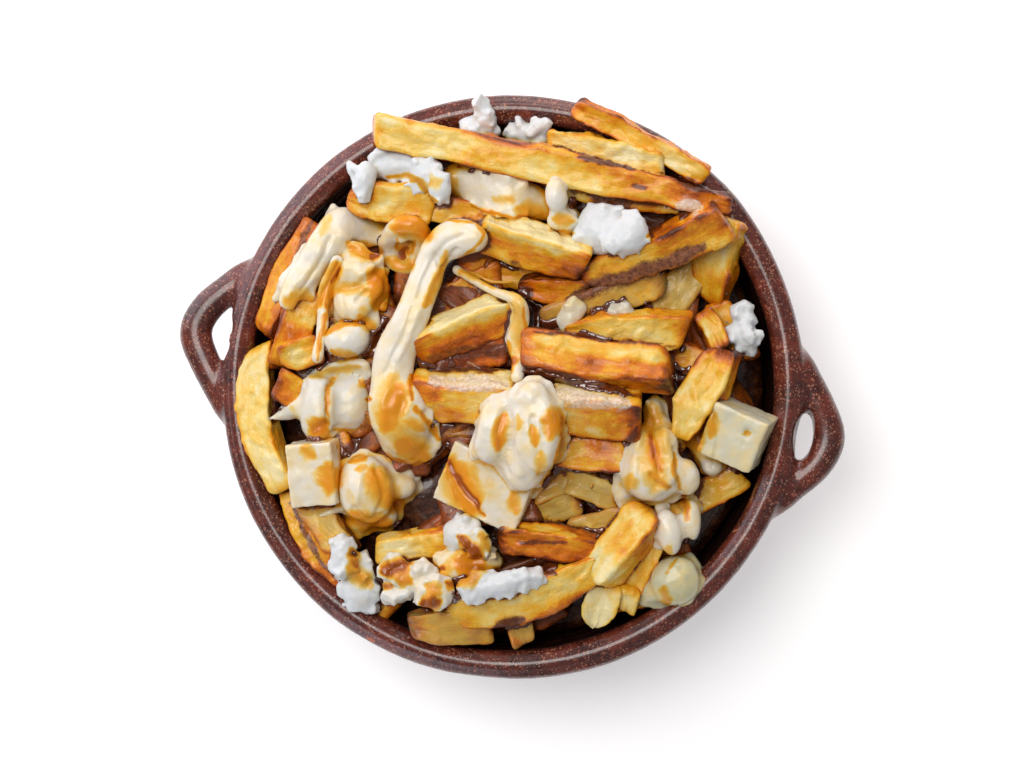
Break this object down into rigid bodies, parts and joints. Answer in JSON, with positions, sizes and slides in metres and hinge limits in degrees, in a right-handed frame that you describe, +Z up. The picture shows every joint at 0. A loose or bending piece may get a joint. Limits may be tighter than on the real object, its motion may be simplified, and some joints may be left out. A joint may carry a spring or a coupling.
{
  "type": "dish of poutine",
  "caption": "Round glazed earthenware dish with two pierced lugs, heaped with thick fries, cheese curds, melted cheese strands and brown gravy.",
  "frame": {"origin": "centre of the dish's flat foot, on the surface that it stands on", "axes": "+Z up, +X through the middle of one lug (the picture's right one), +Y towards the picture's top edge, where the longest fry lies across the rim"},
  "size_m": [0.2034, 0.1764, 0.072],
  "materials": {
    "glaze": "glossy red-brown glaze, speckled, darker inside",
    "fry": "fried potato, golden with browned edges, glazed with brown gravy",
    "curd": "cheese curd, cream white, soft sheen, stained with gravy",
    "melted_cheese": "melted cheese, cream with amber gravy stains, moist sheen"
  },
  "bodies": {
    "root": {"dish": "glaze", "fries_heap": "fry", "cheese_curl": "melted_cheese", "cheese_drop_centre": "melted_cheese", "cheese_flap_east": "melted_cheese", "cheese_patch_west": "melted_cheese", "cheese_rib_west": "melted_cheese", "cheese_ribbon": "melted_cheese", "cheese_strip_north": "melted_cheese", "cheese_thread": "melted_cheese", "cheese_web_west": "melted_cheese", "curd_bead_centre": "curd", "curd_bead_east": "curd", "curd_cluster_south": "curd", "curd_crumb_north": "curd", "curd_cube_east": "curd", "curd_dome_west": "curd", "curd_drop_east": "curd", "curd_gravied_south": "curd", "curd_knob_south": "curd", "curd_lemon_south_east": "curd", "curd_long_south": "curd", "curd_pair_west": "curd", "curd_pearl_north": "curd", "curd_pip_south_east": "curd", "curd_prism_west": "curd", "curd_shred_east": "curd", "curd_shred_north": "curd", "curd_slab_centre": "curd", "curd_south_west": "curd", "curd_white_north_east": "curd", "curd_white_north_west": "curd", "curd_white_south_west": "curd"}
  },
  "joints": []
}
